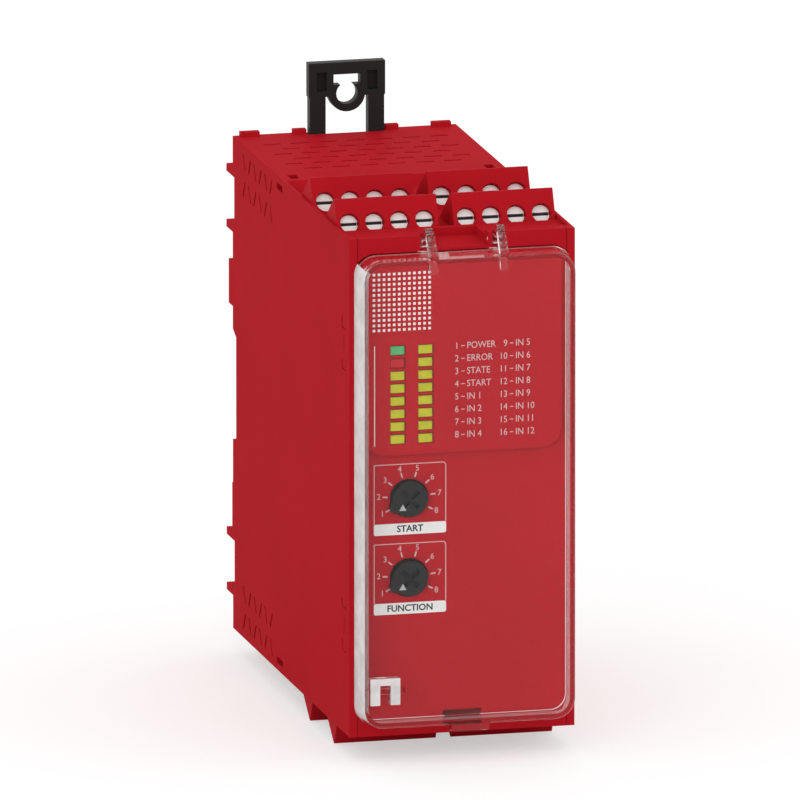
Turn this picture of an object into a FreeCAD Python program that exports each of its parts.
# Safety relay module, 45 mm wide, for a 35 mm mounting rail: moulded red housing with its front panel,
# hinged clear cover, eight plug-in terminal blocks, two rotary selectors, rail clip and the electronics.
# Millimetres. +Z up, +X to the right of someone facing the front, and the front looks along -Y.
# The origin is the middle of the rail seat: y = 0 is the face that the rail's lips press on.
import FreeCAD
import Part
import math
import os

V = FreeCAD.Vector

# ---------------------------------------------------------------- terminals
POLES = 4
POLE_PITCH = 5.0
BLOCK_END = 0.15                 # plastic past the last half pitch, at each end of a block
BLOCK_WIDTH = POLES * POLE_PITCH + 2 * BLOCK_END
COLUMN_GAP = 3.0                 # between the left and the right block
RIM = 0.6                        # side wall left standing beside a block
RIM_GAP = 0.1
ROW_PITCH = 19.7                 # front row to rear row
TOOTH_TIP_DEPTH = 15.2           # from the front face to the tooth's crest
TOOTH_HEIGHT = 4.67              # crest above the housing's top edge
CREST_FLAT = 0.5
SCREW_TILT = 25.4                # screw faces lean back from upright, in degrees
BACK_SLOPE = 1.33                # run of the wire side for each millimetre of fall
PLUG_DEPTH = 15.0                # plug below the block's seat
PLUG_SIDE_STEP = 0.2             # plug narrower than its head, at each end
PLUG_FRONT_STEP = 0.87
PLUG_THICK = 10.4
PLUG_CLEAR = 0.2
SCREW_BORE_R = 1.915
SCREW_HEAD_R = 1.8
SCREW_RECESS = 2.4
SCREW_HEAD_T = 1.2
SCREW_SLOT = 0.65
SCREW_SLOT_DEPTH = 0.6
HOLE_HEIGHT = 0.32               # middle of a screw hole above the housing's top edge
CAGE_WALL = 0.7
CAGE_ROOF = 1.2
CAGE_WIRE = 3.6                  # clear height of the wire space
CAGE_WIDTH = 3.8
CAGE_LENGTH = 3.8
CAGE_GAP = 0.1
FUNNEL_WIDE = 4.2
FUNNEL_HIGH = 5.0
CONTACT_T = 0.6
CONTACT_W = 2.0

# ---------------------------------------------------------------- housing
SIDE_WALL = 1.6
BODY_WIDTH = 2 * (BLOCK_WIDTH + RIM + RIM_GAP) + COLUMN_GAP
BODY_HEIGHT = 99.0
BODY_DEPTH = 96.0
RAIL_BELOW_MIDDLE = 2.6          # the rail's centre line below the housing's middle
FRONT_DECK_DROP = 0.9            # deck in front of the screws, below the top edge
SEAT_DROP = 2.0                  # deck that the blocks sit on, below the top edge
DECK_UNDER = 4.2                 # underside of the decks, below the top edge
REAR_ROOF = 1.8
REAR_WALL = 1.8
ROOF_START = 54.0                # the full-height roof begins this far behind the front face
ROOF_RAMP = 2.0
BOARD_T = 1.6

# ---------------------------------------------------------------- rail, clip and rear
RAIL_SIZE = 35.0
RAIL_LIP_T = 1.0
RAIL_CLEAR = 0.15
RELIEF_HEIGHT = 22.2
RELIEF_DEPTH = 2.7
RELIEF_CHAMFER = 1.2
RELIEF_RISE = 2.3                # the relief's middle above the rail's centre line
BAR_HEIGHT = 8.9                 # cross bar over the rail
BAR_CLEAR = 0.4
BAR_DEPTH = 3.4
PAD_DEPTH = 0.66
HOOK_WIDTH = 6.0
HOOK_X = 13.0
HOOK_T = 2.0
HOOK_GRIP = 2.0
FOOT_LENGTH = 5.3
FOOT_T = 1.5
FOOT_WIDTH = 3.0
FOOT_DROPS = (6.6, 17.8)         # tops of the two feet below the top edge, and the same at the bottom
FOOT_INSET = 1.26
TAB_RISE = 0.9
TAB_DEPTH = 1.6
TAB_SPANS = ((8.0, 10.6), (17.4, 21.2))
CLIP_WIDTH = 15.0
CLIP_T = 2.2
CLIP_GAP = 0.15
CLIP_LEG = 3.2
CLIP_REACH = 14.1                # clip head above the housing's top edge when drawn out
CLIP_HEAD = 6.8
CLIP_HEAD_FLARE = 0.2
CLIP_TRAVEL = 4.0
CLIP_HOOK_TOP = 7.5              # hook block's top above the cross bar's lower edge
NOSE_T = 2.0
NOSE_GAP = 0.15
EYE_R = 2.15
EYE_RING_R = 3.65
EYE_HEIGHT = 7.85
EYE_NECK = 2.7
CLIP_WINDOW_W = 5.4
CLIP_WINDOW_H = 2.1
CLIP_WINDOW_RISE = 9.6
CLIP_POCKET_W = 2.0
CLIP_POCKET_H = 3.8
CLIP_POCKET_DEPTH = 1.2
CLIP_POCKET_X = 5.1
CLIP_POCKET_RISE = 8.4
STRAP_REACH = 1.5
STRAP_HEIGHT = 4.0
STRAP_DROPS = (3.2, 20.0)

# ---------------------------------------------------------------- vents and small openings
VENT_COUNT = 6
VENT_PITCH = 4.45
VENT_LENGTH = 3.6
VENT_GAP = 0.7
VENT_TILT = 30.0
VENT_START = 9.5                 # last vent ahead of the rear face
VENT_ROW_DROPS = (3.4, 8.8)
ROOF_VENT_ROWS = 6
ROOF_VENTS = 7
ROOF_VENT_PITCH = 5.6
ROOF_VENT_LENGTH = 3.6
LEVER_HOLE_DEPTH = 57.2
LEVER_HOLE_SIZE = (4.8, 1.3)
LEVER_NOTCH_X = 19.7
LEVER_NOTCH_W = 1.8
LEVER_NOTCH_L = 3.4
SNAP_DEPTH = 4.4
SNAP_LENGTH = 3.6
SNAP_WINDOWS = ((16.2, 2.4), (24.9, 1.8))
SNAP_SLIT = (19.9, 3.2, 0.4)
SNAP_GAP = 0.1

# ---------------------------------------------------------------- front panel
PANEL_T = 2.0
PANEL_RIM_T = 3.0
PANEL_RIM_H = 4.0
PANEL_GAP = 0.1
NOTCH_HALF = 5.2                 # finger notch between the cover's arms
NOTCH_DROP = 2.5
LABEL_HALF = 19.6
LABEL_RAISE = 1.2
LABEL_TOP = 4.1
LABEL_BOTTOM = 43.0
LABEL_CORNER = 4.0
LED_ROWS = 8
LED_PITCH = 2.52
LED_TOP = 22.2
LED_COLUMNS = (-13.15, -7.6)
LED_SLOT_W = 3.0
LED_SLOT_H = 2.0
LENS_GAP = 0.12
LENS_SINK = 0.2
LED_CHIP_T = 1.0
DIAL_X = -10.6
DIAL_DROPS = (51.9, 67.7)
KNOB_R = 3.5
KNOB_RAISE = 1.3
KNOB_GAP = 0.35
KNOB_DEPTH = 1.2
KNOB_NIB = 0.9
KNOB_CROSS_LONG = 4.4
KNOB_CROSS_W = 0.9
KNOB_CROSS_DEPTH = 0.8
STEM_R = 1.5
STEM_GAP = 0.05
FIRST_MARK_ANGLE = 207.6         # selector position 1, counter-clockwise from +X seen from the front
SWITCH_SIZE = 9.5
SWITCH_FRONT = 3.2
SWITCH_FLOOR = 1.0
DISPLAY_BOARD_DEPTH = 9.0
PEG_R = 1.5
PEG_X = 17.2
PEG_DROP = 12.0

# ---------------------------------------------------------------- clear cover
COVER_HALF = 21.5
COVER_TOP = 2.7
COVER_BOTTOM = 3.2
COVER_STAND = 0.25               # gap between the cover's rim and the panel
COVER_DEPTH = 9.8
COVER_FRONT_T = 1.2
COVER_WALL = 1.0
COVER_CORNER = 4.0
COVER_EDGE = 0.8
PIVOT_BACK = 1.3                 # hinge line behind the front face
PIVOT_DROP = 1.3                 # hinge line below the top edge
PIN_R = 0.7
PIN_GAP = 0.05
PIN_SIDE = 1.1
ARM_X = 7.15
ARM_W = 1.6
ARM_SLOT_GAP = 0.35
ARM_RING_R = 1.2
ARM_SLOT_BACK = 4.9
LATCH_HALF = 3.5
LATCH_T = 0.9
LATCH_REACH = 1.2
LATCH_GAP = 0.4
THUMB_HALF = 4.0
THUMB_DROP = 1.2
THUMB_T = 1.2
SEAL_X = -20.4
SEAL_WIDTH = 6.0
SEAL_TOP = 13.2                  # seal eye's top above the housing's bottom edge
SEAL_HEIGHT = 5.2
SEAL_POST = 1.9
SEAL_BAR = 1.3
SEAL_PROUD = 0.8
SEAL_BACK = 2.6
SEAL_HOLE_R = 0.6

# ---------------------------------------------------------------- electronics
HEADER_FLOOR = 1.9
HEADER_WALL = 0.8
HEADER_RISE = 8.0
HEADER_END = 1.0
PIN_SIZE = 1.0
PIN_RISE = 7.5
PIN_CAVITY_W = 2.4
SHELF_W = 1.2
SHELF_T = 1.5
TERMINAL_BOARD_FRONT = 11.5
TERMINAL_BOARD_LENGTH = 35.0
MAIN_BOARD_X = 14.0
MAIN_BOARD_FRONT = 12.5
MAIN_BOARD_REAR_GAP = 0.3
GUIDE_REACH = 3.0
GUIDE_T = 1.0
GUIDE_GAP = 0.05
RELAY_SIZE = (13.0, 40.0, 15.0)
RELAY_GAP = 4.0
CONNECTOR_SIZE = (4.0, 24.0)
CHIP_SIZE = (10.0, 1.4, 10.0)
CAPACITOR_R = 4.5
CAPACITOR_LENGTH = 11.0
TRANSFORMER_SIZE = (13.0, 18.0, 16.0)
COIL_BULGE = 1.5

# ---------------------------------------------------------------- worked out from the above
HALF_W = BODY_WIDTH / 2
TOP_Z = BODY_HEIGHT / 2 + RAIL_BELOW_MIDDLE
BOTTOM_Z = TOP_Z - BODY_HEIGHT
MID_Z = (TOP_Z + BOTTOM_Z) / 2
FRONT_Y = -BODY_DEPTH
INNER_HALF = HALF_W - SIDE_WALL
COLUMN_X = (COLUMN_GAP + BLOCK_WIDTH) / 2
TILT = math.radians(SCREW_TILT)
SCREW_IN = V(0, math.cos(TILT), -math.sin(TILT))
WIRE_OUT = V(0, math.sin(TILT), math.cos(TILT))
CHAMBER_TOP = SCREW_RECESS + SCREW_HEAD_T + CAGE_GAP
CAGE_HEIGHT = CAGE_ROOF + CAGE_WIRE + CAGE_WALL
PLUG_BOTTOM = SEAT_DROP + PLUG_DEPTH
HEADER_SEAT = PLUG_BOTTOM + PLUG_CLEAR
BOARD_TOP = HEADER_SEAT + HEADER_FLOOR
BOARD_UNDER = BOARD_TOP + BOARD_T
RAIL_TOP = RAIL_SIZE / 2
BAR_BOTTOM = RAIL_TOP + BAR_CLEAR
INNER_REAR = -(RELIEF_DEPTH + REAR_WALL)
LED_FRONT = DISPLAY_BOARD_DEPTH - LED_CHIP_T
HUGE = 200.0
EPS = 0.01


# ---------------------------------------------------------------- helpers
def deep(distance):
    """Y of a plane this far behind the front face."""
    return FRONT_Y + distance


def down(distance):
    """Z of a plane this far below the top edge."""
    return TOP_Z - distance


def up(distance):
    """Z of a plane this far above the bottom edge."""
    return BOTTOM_Z + distance


def box(x0, x1, y0, y1, z0, z1):
    return Part.makeBox(x1 - x0, y1 - y0, z1 - z0, V(x0, y0, z0))


def slab(points, x0, x1):
    """A (y, z) outline drawn out along X."""
    corners = [V(x0, y, z) for y, z in points]
    face = Part.Face(Part.makePolygon(corners + corners[:1]))
    return face.extrude(V(x1 - x0, 0, 0))


def rod_x(radius, x0, x1, y, z):
    return Part.makeCylinder(radius, x1 - x0, V(x0, y, z), V(1, 0, 0))


def rod_y(radius, x, z, y0, y1):
    return Part.makeCylinder(radius, y1 - y0, V(x, y0, z), V(0, 1, 0))


def join(shapes):
    whole = shapes[0].fuse(shapes[1:])
    return whole.removeSplitter()


def upside_down(shape):
    """The same shape turned half a turn about the housing's middle, for the lower end."""
    turned = shape.copy()
    turned.rotate(V(0, 0, MID_Z), V(0, 1, 0), 180)
    return turned


def both_ends(shape):
    return [shape, upside_down(shape)]


def both_sides(shape):
    other = shape.mirror(V(0, 0, 0), V(1, 0, 0))
    return [shape, other]


def rounded_face(x0, x1, z0, z1, y, low_r, high_r):
    """Upright rectangle with round corners: low_r at its two lower corners, high_r at the upper."""
    def corner(cx, cz, radius, start):
        spots = []
        for step in (0, 45, 90):
            angle = math.radians(start + step)
            spots.append(V(cx + radius * math.cos(angle), y, cz + radius * math.sin(angle)))
        return spots

    rounds = [
        corner(x1 - high_r, z1 - high_r, high_r, 0),
        corner(x0 + high_r, z1 - high_r, high_r, 90),
        corner(x0 + low_r, z0 + low_r, low_r, 180),
        corner(x1 - low_r, z0 + low_r, low_r, 270),
    ]
    edges = []
    for index, arc in enumerate(rounds):
        following = rounds[(index + 1) % len(rounds)]
        edges.append(Part.Arc(*arc).toShape())
        edges.append(Part.LineSegment(arc[2], following[0]).toShape())
    return Part.Face(Part.Wire(edges))


def save(name, shape):
    shape.exportStep(os.path.join("parts", name + ".step"))


# ---------------------------------------------------------------- terminal blocks
def screw_face_depth(drop):
    """Depth of the leaning screw face at a height below the top edge."""
    return TOOTH_TIP_DEPTH - (TOOTH_HEIGHT + drop) * math.tan(TILT)


def hole_centre(pole_x):
    """Where a screw's axis meets the screw face of the front upper block."""
    return V(pole_x, deep(screw_face_depth(-HOLE_HEIGHT)), TOP_Z + HOLE_HEIGHT)


def pole_places():
    return [COLUMN_X + (index - (POLES - 1) / 2) * POLE_PITCH for index in range(POLES)]


def tilted_box(origin, width, inward0, inward1, along0, along1):
    """Box lined up with a screw: inward along the screw, along the wire's way out, centred on X."""
    start = origin + SCREW_IN * inward0 + WIRE_OUT * along0 - V(width / 2, 0, 0)
    corners = [
        start,
        start + SCREW_IN * (inward1 - inward0),
        start + SCREW_IN * (inward1 - inward0) + WIRE_OUT * (along1 - along0),
        start + WIRE_OUT * (along1 - along0),
    ]
    face = Part.Face(Part.makePolygon(corners + corners[:1]))
    return face.extrude(V(width, 0, 0))


def wire_mouth(origin, width, inward0, inward1, along):
    """Closed rectangle across the wire's way, for lofting a funnel."""
    left = V(width / 2, 0, 0)
    near = origin + SCREW_IN * inward0 + WIRE_OUT * along
    far = origin + SCREW_IN * inward1 + WIRE_OUT * along
    corners = [near - left, near + left, far + left, far - left]
    return Part.makePolygon(corners + corners[:1])


def block_profile():
    """Tooth, seat and plug of a block, from the side."""
    seat_front = screw_face_depth(SEAT_DROP)
    seat_back = TOOTH_TIP_DEPTH + CREST_FLAT + BACK_SLOPE * (TOOTH_HEIGHT + SEAT_DROP)
    head = [
        (deep(seat_front), down(SEAT_DROP)),
        (deep(TOOTH_TIP_DEPTH), TOP_Z + TOOTH_HEIGHT),
        (deep(TOOTH_TIP_DEPTH + CREST_FLAT), TOP_Z + TOOTH_HEIGHT),
        (deep(seat_back), down(SEAT_DROP)),
    ]
    return head, seat_front, seat_back


def plug_span():
    front = screw_face_depth(SEAT_DROP) + PLUG_FRONT_STEP
    return front, front + PLUG_THICK


def contact_root(pole_x):
    """Where a contact blade ends beside its cage, level with the top of the wire space."""
    inward = CHAMBER_TOP + CAGE_ROOF
    return hole_centre(pole_x) + SCREW_IN * inward - WIRE_OUT * (CAGE_LENGTH / 2 + CAGE_GAP + CONTACT_T)


def contact_span():
    """Depths of the contact blade and of the header pin behind it."""
    blade_front = contact_root(0).y - CONTACT_T / 2 - FRONT_Y
    return blade_front, blade_front + CONTACT_T + CAGE_GAP


def make_terminal_block():
    """Front block of the upper right column, with its screw bores, cage chambers and wire funnels."""
    head, _, _ = block_profile()
    plug_front, plug_back = plug_span()
    left = COLUMN_X - BLOCK_WIDTH / 2
    right = COLUMN_X + BLOCK_WIDTH / 2
    plug = box(left + PLUG_SIDE_STEP, right - PLUG_SIDE_STEP, deep(plug_front), deep(plug_back),
               down(PLUG_BOTTOM), down(SEAT_DROP))
    body = join([slab(head, left, right), plug])
    blade_front, pin_front = contact_span()
    cuts = []
    for pole_x in pole_places():
        centre = hole_centre(pole_x)
        cuts.append(Part.makeCylinder(SCREW_BORE_R, CHAMBER_TOP - CAGE_GAP + 1, centre - SCREW_IN, SCREW_IN))
        half = CAGE_LENGTH / 2 + CAGE_GAP
        cuts.append(tilted_box(centre, CAGE_WIDTH + 2 * CAGE_GAP, CHAMBER_TOP - CAGE_GAP,
                               CHAMBER_TOP + CAGE_HEIGHT + CAGE_GAP, -half, half))
        wire_near = CHAMBER_TOP + CAGE_ROOF
        wire_far = wire_near + CAGE_WIRE
        throat = CAGE_WIDTH - 2 * CAGE_WALL
        flare = (FUNNEL_HIGH - CAGE_WIRE) / 2
        rings = [
            wire_mouth(centre, throat, wire_near, wire_far, half - EPS),
            wire_mouth(centre, FUNNEL_WIDE, wire_near - flare, wire_far + flare, half + FUNNEL_HIGH),
        ]
        cuts.append(Part.makeLoft(rings, True, True))
        cuts.append(box(pole_x - PIN_CAVITY_W / 2, pole_x + PIN_CAVITY_W / 2,
                        deep(blade_front - CAGE_GAP), deep(pin_front + PIN_SIZE + CAGE_GAP),
                        down(PLUG_BOTTOM + 1), contact_root(pole_x).z + CAGE_GAP))
    return body.cut(cuts)


def make_terminal_screws():
    """Four slotted clamping screws of one block, each bearing on the roof of its cage."""
    screws = []
    for pole_x in pole_places():
        centre = hole_centre(pole_x)
        head = Part.makeCylinder(SCREW_HEAD_R, SCREW_HEAD_T, centre + SCREW_IN * SCREW_RECESS, SCREW_IN)
        slot = tilted_box(centre, 2 * SCREW_HEAD_R + 1, SCREW_RECESS - 1, SCREW_RECESS + SCREW_SLOT_DEPTH,
                          -SCREW_SLOT / 2, SCREW_SLOT / 2)
        screws.append(head.cut(slot))
    return Part.makeCompound(screws)


def make_clamp_cages():
    """Four rising clamp cages of one block, and the blade beside each that takes the current down."""
    blade_front, _ = contact_span()
    half = CAGE_LENGTH / 2
    inner_width = CAGE_WIDTH - 2 * CAGE_WALL
    wire_near = CHAMBER_TOP + CAGE_ROOF
    pieces = []
    for pole_x in pole_places():
        centre = hole_centre(pole_x)
        ring = tilted_box(centre, CAGE_WIDTH, CHAMBER_TOP, CHAMBER_TOP + CAGE_HEIGHT, -half, half)
        window = tilted_box(centre, inner_width, wire_near, wire_near + CAGE_WIRE, -half - 1, half + 1)
        pieces.append(ring.cut(window))
        pieces.append(box(pole_x - CONTACT_W / 2, pole_x + CONTACT_W / 2, deep(blade_front),
                          deep(blade_front + CONTACT_T), down(HEADER_SEAT - 1), contact_root(pole_x).z))
    return Part.makeCompound(pieces)


def make_header():
    """Socket floor with front and rear walls that the plug slides between."""
    plug_front, plug_back = plug_span()
    half = BLOCK_WIDTH / 2 - HEADER_END
    front = plug_front - PLUG_CLEAR - HEADER_WALL
    back = plug_back + PLUG_CLEAR + HEADER_WALL
    left = COLUMN_X - half
    right = min(COLUMN_X + half, INNER_HALF - PLUG_CLEAR)
    tray = box(left, right, deep(front), deep(back), down(BOARD_TOP), down(HEADER_SEAT - HEADER_RISE))
    hollow = box(left - 1, right + 1, deep(plug_front - PLUG_CLEAR), deep(plug_back + PLUG_CLEAR),
                 down(HEADER_SEAT), down(0))
    return tray.cut(hollow)


def make_header_pins():
    """Four square pins that stand on a header's floor and reach up into the plug."""
    _, pin_front = contact_span()
    pins = []
    for pole_x in pole_places():
        pins.append(box(pole_x - PIN_SIZE / 2, pole_x + PIN_SIZE / 2, deep(pin_front),
                        deep(pin_front + PIN_SIZE), down(HEADER_SEAT), down(HEADER_SEAT - PIN_RISE)))
    return pins


def place_block(shape, left, rear, lower):
    """Carry a piece of the front upper right block to one of the eight places."""
    moved = shape.copy()
    if lower:
        moved = upside_down(moved)
        moved.translate(V(0 if left else 2 * COLUMN_X, 0, 0))
    elif left:
        moved.translate(V(-2 * COLUMN_X, 0, 0))
    if rear:
        moved.translate(V(0, ROW_PITCH, 0))
    return moved


def block_places():
    """Name, left, rear and lower of each block, such as upper_front_left."""
    places = []
    for lower in (False, True):
        for rear in (False, True):
            for left in (True, False):
                words = ("lower" if lower else "upper", "rear" if rear else "front",
                         "left" if left else "right")
                places.append(("_".join(words), left, rear, lower))
    return places


# ---------------------------------------------------------------- housing
def deck_cut():
    """Space above the decks, between the thin rims of the side walls."""
    half = HALF_W - RIM
    step = screw_face_depth(SEAT_DROP) - PLUG_CLEAR
    outline = [
        (deep(PANEL_RIM_T), TOP_Z + HUGE),
        (deep(PANEL_RIM_T), down(FRONT_DECK_DROP)),
        (deep(step), down(FRONT_DECK_DROP)),
        (deep(step), down(SEAT_DROP)),
        (deep(ROOF_START - ROOF_RAMP), down(SEAT_DROP)),
        (deep(ROOF_START), TOP_Z),
        (deep(ROOF_START), TOP_Z + HUGE),
    ]
    return slab(outline, -half, half)


def plug_pockets():
    """Four openings of the upper deck that the plugs drop through."""
    plug_front, plug_back = plug_span()
    left = COLUMN_X - BLOCK_WIDTH / 2 + PLUG_SIDE_STEP - PLUG_CLEAR
    right = COLUMN_X + BLOCK_WIDTH / 2 - PLUG_SIDE_STEP + PLUG_CLEAR
    pockets = []
    for rear_shift in (0, ROW_PITCH):
        pocket = box(left, right, deep(plug_front - PLUG_CLEAR + rear_shift),
                     deep(plug_back + PLUG_CLEAR + rear_shift), down(HEADER_SEAT), TOP_Z)
        pockets += both_sides(pocket)
    return pockets


def side_vents():
    """Two rows of leaning slots through a side wall, alternating like a herringbone."""
    vents = []
    for row, drop in enumerate(VENT_ROW_DROPS):
        for index in range(VENT_COUNT):
            lean = VENT_TILT if (index + row) % 2 else -VENT_TILT
            y = -VENT_START - index * VENT_PITCH
            vent = box(INNER_HALF - 1, HALF_W + 1, y - VENT_GAP / 2, y + VENT_GAP / 2,
                       down(drop + VENT_LENGTH / 2), down(drop - VENT_LENGTH / 2))
            vent.rotate(V(0, y, down(drop)), V(1, 0, 0), lean)
            vents.append(vent)
    return vents


def roof_vents():
    """Staggered rows of short slots through the roof behind the terminals."""
    vents = []
    for row in range(ROOF_VENT_ROWS):
        y = -VENT_START - row * VENT_PITCH
        shift = ROOF_VENT_PITCH / 2 if row % 2 else 0
        for index in range(ROOF_VENTS - row % 2):
            x = (index - (ROOF_VENTS - 1) / 2) * ROOF_VENT_PITCH + shift
            vents.append(box(x - ROOF_VENT_LENGTH / 2, x + ROOF_VENT_LENGTH / 2, y - VENT_GAP / 2,
                             y + VENT_GAP / 2, down(DECK_UNDER), TOP_Z + 1))
    return vents


def side_openings():
    """Snap windows, slit and lever hole of one side wall's upper half."""
    cuts = []
    for drop, height in SNAP_WINDOWS:
        cuts.append(box(INNER_HALF - 1, HALF_W + 1, deep(SNAP_DEPTH - SNAP_LENGTH / 2),
                        deep(SNAP_DEPTH + SNAP_LENGTH / 2), down(drop + height), down(drop)))
    drop, height, gap = SNAP_SLIT
    cuts.append(box(INNER_HALF - 1, HALF_W + 1, deep(SNAP_DEPTH - gap / 2), deep(SNAP_DEPTH + gap / 2),
                    down(drop + height), down(drop)))
    length, high = LEVER_HOLE_SIZE
    cuts.append(box(INNER_HALF - 1, HALF_W + 1, deep(LEVER_HOLE_DEPTH - length / 2),
                    deep(LEVER_HOLE_DEPTH + length / 2), down(SEAT_DROP + high / 2),
                    down(SEAT_DROP - high / 2)))
    return cuts


def rail_relief():
    """Shallow trough across the rear between the seats of the rail's two lips."""
    low = RELIEF_RISE - RELIEF_HEIGHT / 2
    high = RELIEF_RISE + RELIEF_HEIGHT / 2
    outline = [(-RELIEF_DEPTH, low), (-RELIEF_DEPTH, high - RELIEF_CHAMFER), (0, high), (BAR_DEPTH, high),
               (BAR_DEPTH, low)]
    return slab(outline, -HUGE, HUGE)


def rear_features():
    """Cross bar halves, pad, rail hooks, feet, straps over the clip and rim tabs."""
    channel = CLIP_WIDTH / 2 + CLIP_GAP
    added = both_sides(box(channel, HALF_W, -EPS, BAR_DEPTH, BAR_BOTTOM, BAR_BOTTOM + BAR_HEIGHT))
    pad_top = -RAIL_TOP - RAIL_CLEAR
    foot_line = up(FOOT_DROPS[1] + FOOT_T)
    added.append(box(-HALF_W, HALF_W, -EPS, PAD_DEPTH, foot_line, pad_top))
    hook_gap = RAIL_LIP_T + RAIL_CLEAR
    hook = join([
        box(HOOK_X - HOOK_WIDTH / 2, HOOK_X + HOOK_WIDTH / 2, -EPS, hook_gap + HOOK_T,
            pad_top - 2 * HOOK_T, pad_top),
        box(HOOK_X - HOOK_WIDTH / 2, HOOK_X + HOOK_WIDTH / 2, hook_gap, hook_gap + HOOK_T,
            pad_top - HOOK_T, pad_top + HOOK_GRIP),
    ])
    added += both_sides(hook)
    for drop in FOOT_DROPS:
        foot = box(HALF_W - FOOT_WIDTH, HALF_W, -FOOT_INSET - EPS, FOOT_LENGTH, down(drop + FOOT_T),
                   down(drop))
        for end in both_ends(foot):
            added += both_sides(end)
    for drop in STRAP_DROPS:
        added.append(box(-channel - CLIP_LEG, channel + CLIP_LEG, -EPS, STRAP_REACH,
                         down(drop + STRAP_HEIGHT), down(drop)))
    for inner, outer in TAB_SPANS:
        added += both_sides(box(inner, outer, -TAB_DEPTH, 0, TOP_Z - EPS, TOP_Z + TAB_RISE))
    return added


def foot_insets():
    """Rear face set in between the two feet of each end."""
    inset = box(-HUGE, HUGE, -FOOT_INSET, HUGE, down(FOOT_DROPS[1]), down(FOOT_DROPS[0] + FOOT_T))
    return both_ends(inset)


def clip_channel():
    half = CLIP_WIDTH / 2 + CLIP_GAP
    low = RELIEF_RISE + RELIEF_HEIGHT / 2 - RELIEF_CHAMFER - EPS
    return box(-half, half, -CLIP_T - 2 * CLIP_GAP, 0, low, TOP_Z + HUGE)


def inner_cavity():
    """Room inside the housing, open at the front."""
    room = [box(-INNER_HALF, INNER_HALF, FRONT_Y - 1, INNER_REAR, up(DECK_UNDER), down(DECK_UNDER))]
    roof_room = box(-INNER_HALF, INNER_HALF, deep(ROOF_START + REAR_ROOF), INNER_REAR, down(DECK_UNDER + 1),
                    down(REAR_ROOF))
    room += both_ends(roof_room)
    channel = CLIP_WIDTH / 2 + CLIP_GAP + REAR_WALL
    relief_top = RELIEF_RISE + RELIEF_HEIGHT / 2 + REAR_WALL
    relief_low = RELIEF_RISE - RELIEF_HEIGHT / 2 - REAR_WALL
    rear_room = FOOT_DROPS[1] + FOOT_T
    room += both_sides(box(channel, INNER_HALF, INNER_REAR - 1, -REAR_WALL, relief_top, down(rear_room)))
    room.append(box(-INNER_HALF, INNER_HALF, INNER_REAR - 1, -REAR_WALL, up(rear_room), relief_low))
    return room


def board_shelves():
    """Ledges inside the side walls that carry the two terminal boards."""
    shelf = box(INNER_HALF - SHELF_W, INNER_HALF + EPS, deep(TERMINAL_BOARD_FRONT),
                deep(TERMINAL_BOARD_FRONT + TERMINAL_BOARD_LENGTH), down(BOARD_UNDER + SHELF_T),
                down(BOARD_UNDER))
    shelves = []
    for end in both_ends(shelf):
        shelves += both_sides(end)
    return shelves


def board_guides():
    """Pairs of ribs on the rear wall that hold the main boards' rear edges."""
    guides = []
    for offset in (BOARD_T / 2 + GUIDE_GAP, -BOARD_T / 2 - GUIDE_GAP - GUIDE_T):
        x0 = MAIN_BOARD_X + offset
        rib = box(x0, x0 + GUIDE_T, INNER_REAR - GUIDE_REACH, INNER_REAR + EPS,
                  RELIEF_RISE - RELIEF_HEIGHT / 2, RELIEF_RISE + RELIEF_HEIGHT / 2)
        guides += both_sides(rib)
    return guides


def arm_slots(widen=0.0):
    """Slots for the cover's two hinge arms, through the panel's rim and into the deck."""
    half = ARM_W / 2 + ARM_SLOT_GAP + widen
    floor = PIVOT_DROP + ARM_RING_R + ARM_SLOT_GAP
    slot = box(ARM_X - half, ARM_X + half, FRONT_Y - 1, deep(ARM_SLOT_BACK), down(floor), TOP_Z + 1)
    return both_sides(slot)


def finger_notch():
    step = screw_face_depth(SEAT_DROP) - PLUG_CLEAR
    return box(-NOTCH_HALF, NOTCH_HALF, FRONT_Y - 1, deep(step - SIDE_WALL), down(NOTCH_DROP), TOP_Z + 1)


def make_housing():
    shell = box(-HALF_W, HALF_W, FRONT_Y, 0, BOTTOM_Z, TOP_Z)
    shell = shell.cut(inner_cavity())
    shell = shell.fuse(board_shelves() + board_guides())
    cuts = [box(-INNER_HALF, INNER_HALF, FRONT_Y - 1, deep(PANEL_RIM_T), BOTTOM_Z - 1, TOP_Z + 1)]
    cuts += both_ends(deck_cut())
    for pocket in plug_pockets():
        cuts += both_ends(pocket)
    cuts += foot_insets()
    shell = shell.cut(cuts)
    shell = shell.fuse(rear_features())
    cuts = [rail_relief(), clip_channel(), finger_notch()] + arm_slots()
    for vent in side_vents() + side_openings():
        for end in both_ends(vent):
            cuts += both_sides(end)
    for vent in roof_vents():
        cuts += both_ends(vent)
    notch = box(LEVER_NOTCH_X - LEVER_NOTCH_W / 2, LEVER_NOTCH_X + LEVER_NOTCH_W / 2,
                deep(LEVER_HOLE_DEPTH - LEVER_NOTCH_L / 2), deep(LEVER_HOLE_DEPTH + LEVER_NOTCH_L / 2),
                down(REAR_ROOF + EPS), TOP_Z + 1)
    for end in both_ends(notch):
        cuts += both_sides(end)
    return shell.cut(cuts).removeSplitter()


# ---------------------------------------------------------------- front panel and what shows on it
def led_places():
    """Column, row and centre of each indicator."""
    places = []
    for column, x in enumerate(LED_COLUMNS):
        for row in range(LED_ROWS):
            places.append((column, row, x, down(LED_TOP + row * LED_PITCH)))
    return places


def led_slots():
    slots = []
    for _, _, x, z in led_places():
        slots.append(box(x - LED_SLOT_W / 2, x + LED_SLOT_W / 2, FRONT_Y - LABEL_RAISE - 1,
                         deep(PANEL_T + 1), z - LED_SLOT_H / 2, z + LED_SLOT_H / 2))
    return slots


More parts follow.
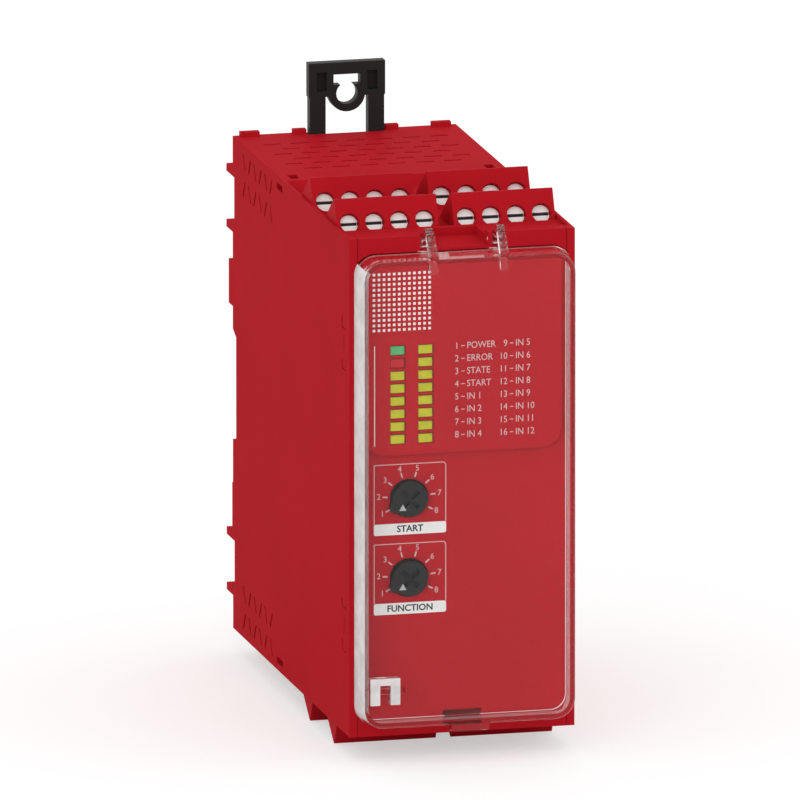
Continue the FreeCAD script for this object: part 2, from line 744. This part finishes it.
def guide_slots():
    """One tall slot through the panel behind each column of label windows."""
    high = down(LED_TOP) + LED_SLOT_H / 2
    low = down(LED_TOP + (LED_ROWS - 1) * LED_PITCH) - LED_SLOT_H / 2
    slots = []
    for x in LED_COLUMNS:
        slots.append(box(x - LED_SLOT_W / 2, x + LED_SLOT_W / 2, FRONT_Y - 1, deep(PANEL_T + 1), low, high))
    return slots


def dial_places():
    return [down(drop) for drop in DIAL_DROPS]


def snap_arms():
    """Springy tongues behind the panel whose nubs sit in the side wall's windows."""
    arms = []
    outer = INNER_HALF - PANEL_GAP
    lowest = SNAP_WINDOWS[1][0] + SNAP_WINDOWS[1][1]
    tongue = box(outer - SHELF_W, outer, deep(PANEL_T - EPS), deep(SNAP_DEPTH + SNAP_LENGTH / 2),
                 down(lowest - SNAP_GAP), down(SNAP_WINDOWS[0][0] + SNAP_GAP))
    pieces = [tongue]
    for drop, height in SNAP_WINDOWS:
        pieces.append(box(outer - EPS, HALF_W - SNAP_GAP, deep(SNAP_DEPTH - SNAP_LENGTH / 2 + SNAP_GAP),
                          deep(SNAP_DEPTH + SNAP_LENGTH / 2 - SNAP_GAP), down(drop + height - SNAP_GAP),
                          down(drop + SNAP_GAP)))
    arm = join(pieces)
    for end in both_ends(arm):
        arms += both_sides(end)
    return arms


def board_pegs():
    """Round posts behind the panel that the display board is held on."""
    peg = rod_y(PEG_R, PEG_X, down(PEG_DROP), deep(PANEL_T - EPS), deep(DISPLAY_BOARD_DEPTH))
    pegs = []
    for end in both_ends(peg):
        pegs += both_sides(end)
    return pegs


def make_front_panel():
    half = INNER_HALF - PANEL_GAP
    plate = box(-half, half, FRONT_Y, deep(PANEL_T), BOTTOM_Z, TOP_Z)
    rim = box(-half, half, FRONT_Y, deep(PANEL_RIM_T), down(PANEL_RIM_H), TOP_Z)
    panel = join([plate] + both_ends(rim) + snap_arms() + board_pegs())
    cuts = guide_slots() + arm_slots() + [finger_notch()]
    for z in dial_places():
        cuts.append(rod_y(KNOB_R + KNOB_GAP, DIAL_X, z, FRONT_Y - 1, deep(PANEL_RIM_T)))
    bore_half = ARM_X + ARM_W / 2 + ARM_SLOT_GAP + PIN_SIDE
    cuts += both_sides(rod_x(PIN_R + PIN_GAP, NOTCH_HALF - 1, bore_half, deep(PIVOT_BACK), down(PIVOT_DROP)))
    latch_top = up(COVER_BOTTOM + LATCH_T + LATCH_GAP)
    cuts.append(box(-LATCH_HALF - LATCH_GAP, LATCH_HALF + LATCH_GAP, FRONT_Y - 1, deep(PANEL_RIM_T + 1),
                    up(COVER_BOTTOM - LATCH_GAP), latch_top))
    return panel.cut(cuts).removeSplitter()


def make_label_plate():
    face = rounded_face(-LABEL_HALF, LABEL_HALF, down(LABEL_BOTTOM), down(LABEL_TOP), FRONT_Y, LABEL_CORNER,
                        LABEL_CORNER / 2)
    plate = face.extrude(V(0, -LABEL_RAISE, 0))
    return plate.cut(led_slots())


def make_lens(x, z):
    """Light guide from the label's face back to its light source."""
    half_w = LED_SLOT_W / 2 - LENS_GAP
    half_h = LED_SLOT_H / 2 - LENS_GAP
    return box(x - half_w, x + half_w, FRONT_Y - LABEL_RAISE + LENS_SINK, deep(LED_FRONT), z - half_h,
               z + half_h)


def make_light_sources():
    chips = []
    for _, _, x, z in led_places():
        half = LED_SLOT_H / 2 - LENS_GAP
        chips.append(box(x - half, x + half, deep(LED_FRONT), deep(DISPLAY_BOARD_DEPTH), z - half, z + half))
    return Part.makeCompound(chips)


def make_knob(z):
    """Selector with a cross recess and a nib that points at its first position."""
    disc = rod_y(KNOB_R, DIAL_X, z, FRONT_Y - KNOB_RAISE, deep(KNOB_DEPTH))
    stem = rod_y(STEM_R, DIAL_X, z, deep(KNOB_DEPTH - EPS), deep(DISPLAY_BOARD_DEPTH - SWITCH_FLOOR))
    nib_half = KNOB_R * math.sin(math.radians(FIRST_MARK_ANGLE - 180))
    nib_root = math.sqrt(KNOB_R ** 2 - nib_half ** 2)
    tip = KNOB_R + KNOB_NIB
    corners = [V(nib_root, 0, nib_half), V(tip, 0, nib_half / 3), V(tip, 0, -nib_half / 3),
               V(nib_root, 0, -nib_half)]
    nib = Part.Face(Part.makePolygon(corners + corners[:1])).extrude(V(0, -KNOB_RAISE + LENS_SINK, 0))
    nib.rotate(V(0, 0, 0), V(0, 1, 0), -FIRST_MARK_ANGLE)
    nib.translate(V(DIAL_X, FRONT_Y - LENS_SINK, z))
    knob = disc.fuse([stem, nib]).removeSplitter()
    cuts = []
    for turn in (45, 135):
        groove = box(-KNOB_CROSS_LONG / 2, KNOB_CROSS_LONG / 2, -1, KNOB_CROSS_DEPTH, -KNOB_CROSS_W / 2,
                     KNOB_CROSS_W / 2)
        groove.rotate(V(0, 0, 0), V(0, 1, 0), turn)
        groove.translate(V(DIAL_X, FRONT_Y - KNOB_RAISE, z))
        cuts.append(groove)
    return knob.cut(cuts)


def make_switch(z):
    """Body of a rotary switch, standing on the display board."""
    half = SWITCH_SIZE / 2
    body = box(DIAL_X - half, DIAL_X + half, deep(SWITCH_FRONT), deep(DISPLAY_BOARD_DEPTH), z - half, z + half)
    bore = rod_y(STEM_R + STEM_GAP, DIAL_X, z, deep(SWITCH_FRONT - 1),
                 deep(DISPLAY_BOARD_DEPTH - SWITCH_FLOOR + STEM_GAP))
    return body.cut(bore)


# ---------------------------------------------------------------- clear cover
def hinge_arm():
    """Swan-necked arm from the hinge pin over the panel's edge to the cover's front, with its gusset."""
    pivot_y = deep(PIVOT_BACK)
    pivot_z = down(PIVOT_DROP)
    x0 = ARM_X - ARM_W / 2
    x1 = ARM_X + ARM_W / 2
    front = FRONT_Y - COVER_DEPTH + EPS
    top = down(COVER_TOP)
    crest = TOP_Z + 2.2
    bar = [
        (pivot_y + ARM_RING_R * 0.6, pivot_z + ARM_RING_R * 0.7),
        (FRONT_Y - 2.1, crest),
        (FRONT_Y - 2.9, crest),
        (front, top + 0.3),
        (front, top - COVER_WALL),
        (front + 2.4, top - COVER_WALL),
        (FRONT_Y - 2.7, crest - 1.3),
        (pivot_y - ARM_RING_R * 0.6, pivot_z - ARM_RING_R * 0.4),
    ]
    gusset = [(front, top - COVER_WALL + EPS), (front, top - 3.1), (front + 1.0, top - 3.1),
              (front + 4.6, top - COVER_WALL + EPS)]
    ring = rod_x(ARM_RING_R, x0, x1, pivot_y, pivot_z)
    reach = ARM_SLOT_GAP + PIN_SIDE - PIN_GAP
    pin = rod_x(PIN_R, x0 - ARM_SLOT_GAP - PIN_SIDE / 2, x1 + reach, pivot_y, pivot_z)
    return join([slab(bar, x0, x1), slab(gusset, x0, x1), ring, pin])


def seal_eye():
    """Small arch low on the cover's left, whose drilled posts take a sealing wire."""
    x0 = SEAL_X
    x1 = SEAL_X + SEAL_WIDTH
    y0 = FRONT_Y - COVER_DEPTH - SEAL_PROUD
    y1 = FRONT_Y - COVER_DEPTH + SEAL_BACK
    z1 = up(SEAL_TOP)
    z0 = z1 - SEAL_HEIGHT
    posts = [box(x0, x0 + SEAL_POST, y0, y1, z0, z1), box(x1 - SEAL_POST, x1, y0, y1, z0, z1)]
    bar = box(x0, x1, y0, y1, z1 - SEAL_BAR, z1)
    hole = rod_x(SEAL_HOLE_R, x0 - 1, x1 + 1, y0 + SEAL_HOLE_R + 0.5, z0 + SEAL_HEIGHT / 2)
    return join(posts + [bar]), hole


def make_cover():
    top = down(COVER_TOP)
    bottom = up(COVER_BOTTOM)
    front = FRONT_Y - COVER_DEPTH
    rim = FRONT_Y - COVER_STAND
    face = rounded_face(-COVER_HALF, COVER_HALF, bottom, top, front, COVER_CORNER, COVER_CORNER)
    outer = face.extrude(V(0, rim - front, 0))
    front_edges = [edge for edge in outer.Edges if abs(edge.BoundBox.YMax - front) < EPS]
    outer = outer.makeFillet(COVER_EDGE, front_edges)
    inner_r = COVER_CORNER - COVER_WALL
    inside = rounded_face(-COVER_HALF + COVER_WALL, COVER_HALF - COVER_WALL, bottom + COVER_WALL,
                          top - COVER_WALL, front + COVER_FRONT_T, inner_r, inner_r)
    tray = outer.cut(inside.extrude(V(0, COVER_DEPTH, 0)))
    thumb_low = bottom - THUMB_DROP
    thumb = rounded_face(-THUMB_HALF, THUMB_HALF, thumb_low, bottom + COVER_WALL, front - THUMB_T / 2,
                         THUMB_DROP / 2, THUMB_DROP / 4).extrude(V(0, THUMB_T, 0))
    latch = box(-LATCH_HALF, LATCH_HALF, rim - EPS, deep(LATCH_REACH), bottom, bottom + LATCH_T)
    eye, eye_hole = seal_eye()
    cover = join([tray, thumb, latch, eye] + both_sides(hinge_arm()))
    return cover.cut(eye_hole)


# ---------------------------------------------------------------- rail clip
def make_clip():
    """Sliding clip: head with a screw eye and a driver window, two legs, and the hook over the rail."""
    half = CLIP_WIDTH / 2
    head_half = half + CLIP_HEAD_FLARE
    y0 = -CLIP_T - CLIP_GAP
    y1 = -CLIP_GAP
    top = TOP_Z + CLIP_REACH
    leg_foot = BAR_BOTTOM + CLIP_TRAVEL + CLIP_GAP
    head = box(-head_half, head_half, y0, y1, top - CLIP_HEAD, top)
    legs = both_sides(box(half - CLIP_LEG, half, y0, y1, leg_foot, top - EPS))
    ring = rod_y(EYE_RING_R, 0, TOP_Z + EYE_HEIGHT, y0, y1)
    foot_top = BAR_BOTTOM + CLIP_HOOK_TOP
    web = box(-half, half, y0, y1, leg_foot, foot_top)
    nose_y = RAIL_LIP_T + NOSE_GAP
    hook = [
        (y0, leg_foot),
        (nose_y, leg_foot),
        (nose_y, BAR_BOTTOM),
        (nose_y + NOSE_T / 2, BAR_BOTTOM),
        (nose_y + NOSE_T, BAR_BOTTOM + NOSE_T),
        (nose_y + NOSE_T, foot_top),
        (y0, foot_top),
    ]
    clip = join([head] + legs + [ring, web, slab(hook, -half, half)])
    window_z = TOP_Z + CLIP_WINDOW_RISE
    cuts = [
        rod_y(EYE_R, 0, TOP_Z + EYE_HEIGHT, y0 - 1, y1 + 1),
        box(-EYE_NECK / 2, EYE_NECK / 2, y0 - 1, y1 + 1, TOP_Z + EYE_HEIGHT, window_z + EPS),
        box(-CLIP_WINDOW_W / 2, CLIP_WINDOW_W / 2, y0 - 1, y1 + 1, window_z, window_z + CLIP_WINDOW_H),
    ]
    pocket = box(CLIP_POCKET_X - CLIP_POCKET_W / 2, CLIP_POCKET_X + CLIP_POCKET_W / 2, y0 - 1,
                 y0 + CLIP_POCKET_DEPTH, TOP_Z + CLIP_POCKET_RISE,
                 TOP_Z + CLIP_POCKET_RISE + CLIP_POCKET_H)
    cuts += both_sides(pocket)
    return clip.cut(cuts).removeSplitter()


# ---------------------------------------------------------------- boards and components
def make_terminal_board():
    half = INNER_HALF - PANEL_GAP
    return box(-half, half, deep(TERMINAL_BOARD_FRONT), deep(TERMINAL_BOARD_FRONT + TERMINAL_BOARD_LENGTH),
               down(BOARD_UNDER), down(BOARD_TOP))


def make_main_board(side):
    centre = side * MAIN_BOARD_X
    return box(centre - BOARD_T / 2, centre + BOARD_T / 2, deep(MAIN_BOARD_FRONT),
               INNER_REAR - MAIN_BOARD_REAR_GAP, up(BOARD_UNDER), down(BOARD_UNDER))


def make_display_board():
    half = PEG_X + 2 * PEG_R
    edge = PEG_DROP - 2 * PEG_R
    return box(-half, half, deep(DISPLAY_BOARD_DEPTH), deep(DISPLAY_BOARD_DEPTH + BOARD_T), up(edge), down(edge))


def inside_left():
    """X of the left main board's inner face."""
    return -MAIN_BOARD_X + BOARD_T / 2


def make_guided_relay(upper):
    """Relay with force-guided contacts: case, raised lid line and rows of solder pins."""
    width, length, height = RELAY_SIZE
    x0 = inside_left()
    y0 = deep(MAIN_BOARD_FRONT + RELAY_GAP * 2)
    z0 = MID_Z + RELAY_GAP / 2 if upper else MID_Z - RELAY_GAP / 2 - height
    case = box(x0, x0 + width, y0, y0 + length, z0, z0 + height)
    groove = box(x0 + width - 2, x0 + width - 1.4, y0 - 1, y0 + length + 1, z0 - 1, z0 + height + 1)
    core = box(x0 + 1, x0 + width - 0.6, y0 + 0.6, y0 + length - 0.6, z0 + 0.6, z0 + height - 0.6)
    return case.cut(groove).fuse(core).removeSplitter()


def make_transformer():
    """Laminated core with its wound coil, on the right main board's inner face."""
    width, length, height = TRANSFORMER_SIZE
    x1 = MAIN_BOARD_X - BOARD_T / 2
    y0 = deep(MAIN_BOARD_FRONT + BODY_DEPTH / 2)
    z0 = MID_Z - height / 2
    core = box(x1 - width, x1, y0, y0 + length, z0, z0 + height)
    coil = box(x1 - width + COIL_BULGE, x1 - COIL_BULGE, y0 + length / 4, y0 + length * 3 / 4,
               z0 - COIL_BULGE, z0 + height + COIL_BULGE)
    return join([core, coil])


def make_capacitors():
    """Two upright cans beside the transformer."""
    x1 = MAIN_BOARD_X - BOARD_T / 2
    y = deep(MAIN_BOARD_FRONT + BODY_DEPTH / 2) - 2 * CAPACITOR_R
    cans = []
    for sign in (-1, 1):
        z = MID_Z + sign * (CAPACITOR_R + 2)
        can = rod_x(CAPACITOR_R, x1 - CAPACITOR_LENGTH, x1, y, z)
        cans.append(can)
    return Part.makeCompound(cans)


def make_processors():
    """Two redundant controllers, one above the other on the right main board."""
    length, thick, height = CHIP_SIZE
    x1 = MAIN_BOARD_X - BOARD_T / 2
    y0 = deep(MAIN_BOARD_FRONT + RELAY_GAP * 2)
    chips = []
    for z0 in (MID_Z + RELAY_GAP, MID_Z - RELAY_GAP - height):
        chips.append(box(x1 - thick, x1, y0, y0 + length, z0, z0 + height))
    return Part.makeCompound(chips)


def make_board_connectors():
    """Sockets that join the display board to the two main boards."""
    width, height = CONNECTOR_SIZE
    front = deep(DISPLAY_BOARD_DEPTH + BOARD_T)
    back = deep(MAIN_BOARD_FRONT + RELAY_GAP)
    socket = box(MAIN_BOARD_X - BOARD_T / 2 - width, MAIN_BOARD_X - BOARD_T / 2, front, back,
                 MID_Z - height / 2, MID_Z + height / 2)
    return Part.makeCompound(both_sides(socket))


# ---------------------------------------------------------------- write every piece
def save_terminals():
    pieces = {
        "terminal_block": make_terminal_block(),
        "terminal_screws": make_terminal_screws(),
        "clamp_cages": make_clamp_cages(),
        "pin_header": make_header(),
    }
    pins = {"upper": [], "lower": []}
    for place, left, rear, lower in block_places():
        for kind, shape in pieces.items():
            mirrored = shape
            if kind == "pin_header" and left != lower:
                mirrored = both_sides(shape)[1]
                mirrored.translate(V(2 * COLUMN_X, 0, 0))
            save(kind + "_" + place, place_block(mirrored, left, rear, lower))
        for pin in make_header_pins():
            pins["lower" if lower else "upper"].append(place_block(pin, left, rear, lower))
    for end, group in pins.items():
        save("header_pins_" + end, Part.makeCompound(group))


def save_front():
    save("front_panel", make_front_panel())
    save("label_plate", make_label_plate())
    green, red, yellow = [], [], []
    for column, row, x, z in led_places():
        group = yellow
        if row == 0 and column == 0:
            group = green
        if row == 1 and column == 0:
            group = red
        group.append(make_lens(x, z))
    save("lens_green", Part.makeCompound(green))
    save("lens_red", Part.makeCompound(red))
    save("lenses_yellow", Part.makeCompound(yellow))
    save("light_sources", make_light_sources())
    for name, z in zip(("start", "function"), dial_places()):
        save("selector_" + name, make_knob(z))
        save("switch_" + name, make_switch(z))


def save_inside():
    board = make_terminal_board()
    save("terminal_board_upper", board)
    save("terminal_board_lower", upside_down(board))
    save("main_board_left", make_main_board(-1))
    save("main_board_right", make_main_board(1))
    save("display_board", make_display_board())
    save("guided_relay_upper", make_guided_relay(True))
    save("guided_relay_lower", make_guided_relay(False))
    save("transformer", make_transformer())
    save("capacitors", make_capacitors())
    save("processors", make_processors())
    save("board_connectors", make_board_connectors())


def main():
    os.makedirs("parts", exist_ok=True)
    save("housing", make_housing())
    save_front()
    save("clear_cover", make_cover())
    save("mounting_clip", make_clip())
    save_terminals()
    save_inside()


main()
